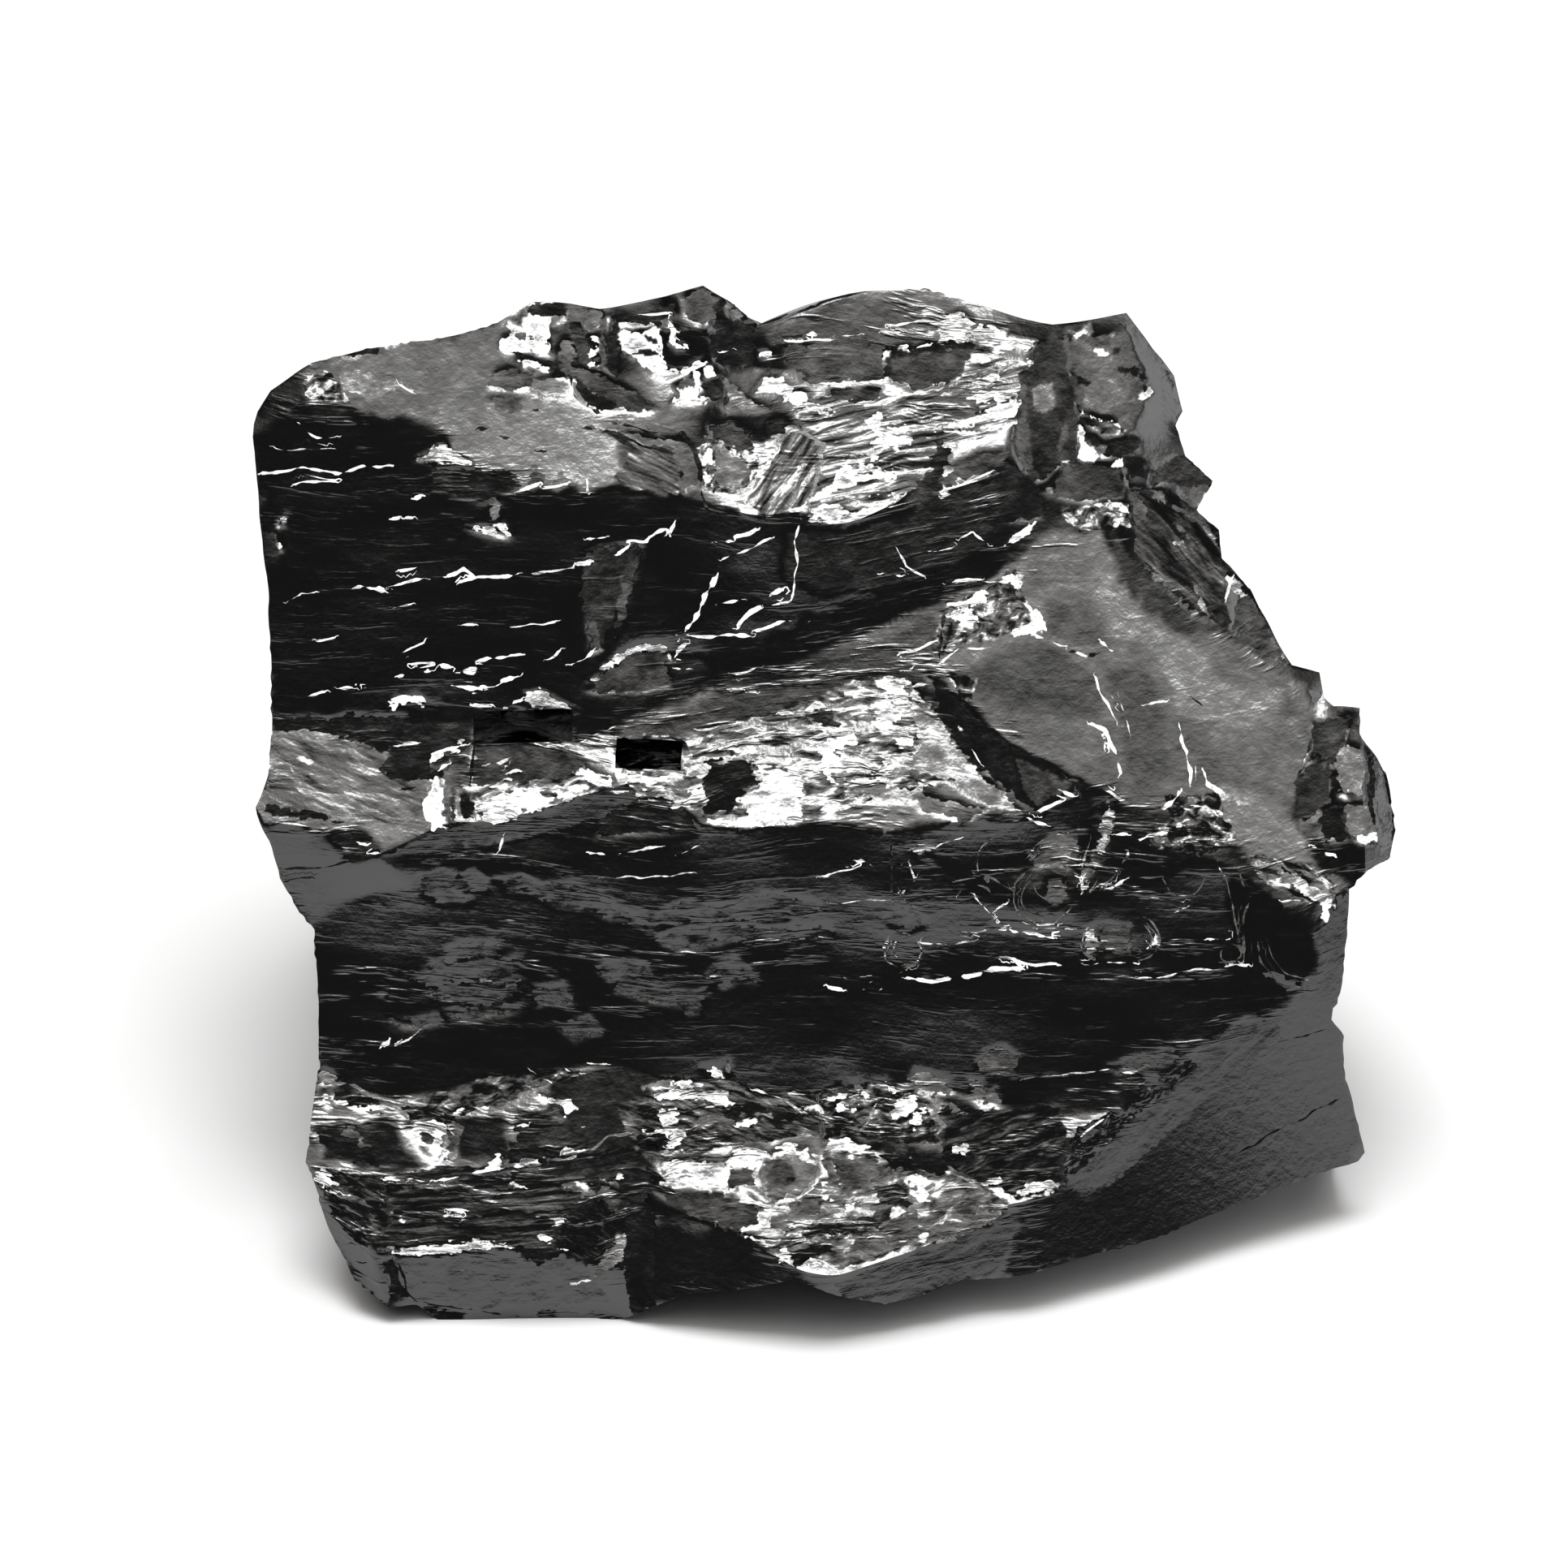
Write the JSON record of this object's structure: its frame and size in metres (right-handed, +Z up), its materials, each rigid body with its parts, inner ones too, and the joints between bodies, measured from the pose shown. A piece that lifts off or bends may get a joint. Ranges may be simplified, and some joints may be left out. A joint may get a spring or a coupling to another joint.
{
  "type": "raw shungite",
  "caption": "Lump of raw glassy black carbon rock with bright, banded, shell-like breaks, resting on a flat broken base.",
  "frame": {"origin": "on the base, under the middle of the stone's outer box", "axes": "+Z up from the base, +X along the stone's width, -Y towards the leaning front face"},
  "size_m": [0.0402, 0.028, 0.0307],
  "materials": {
    "shungite": "glassy, semi-metallic fresh breaks in silvery black carbon"
  },
  "bodies": {
    "root": {"shungite": "shungite"}
  },
  "joints": []
}
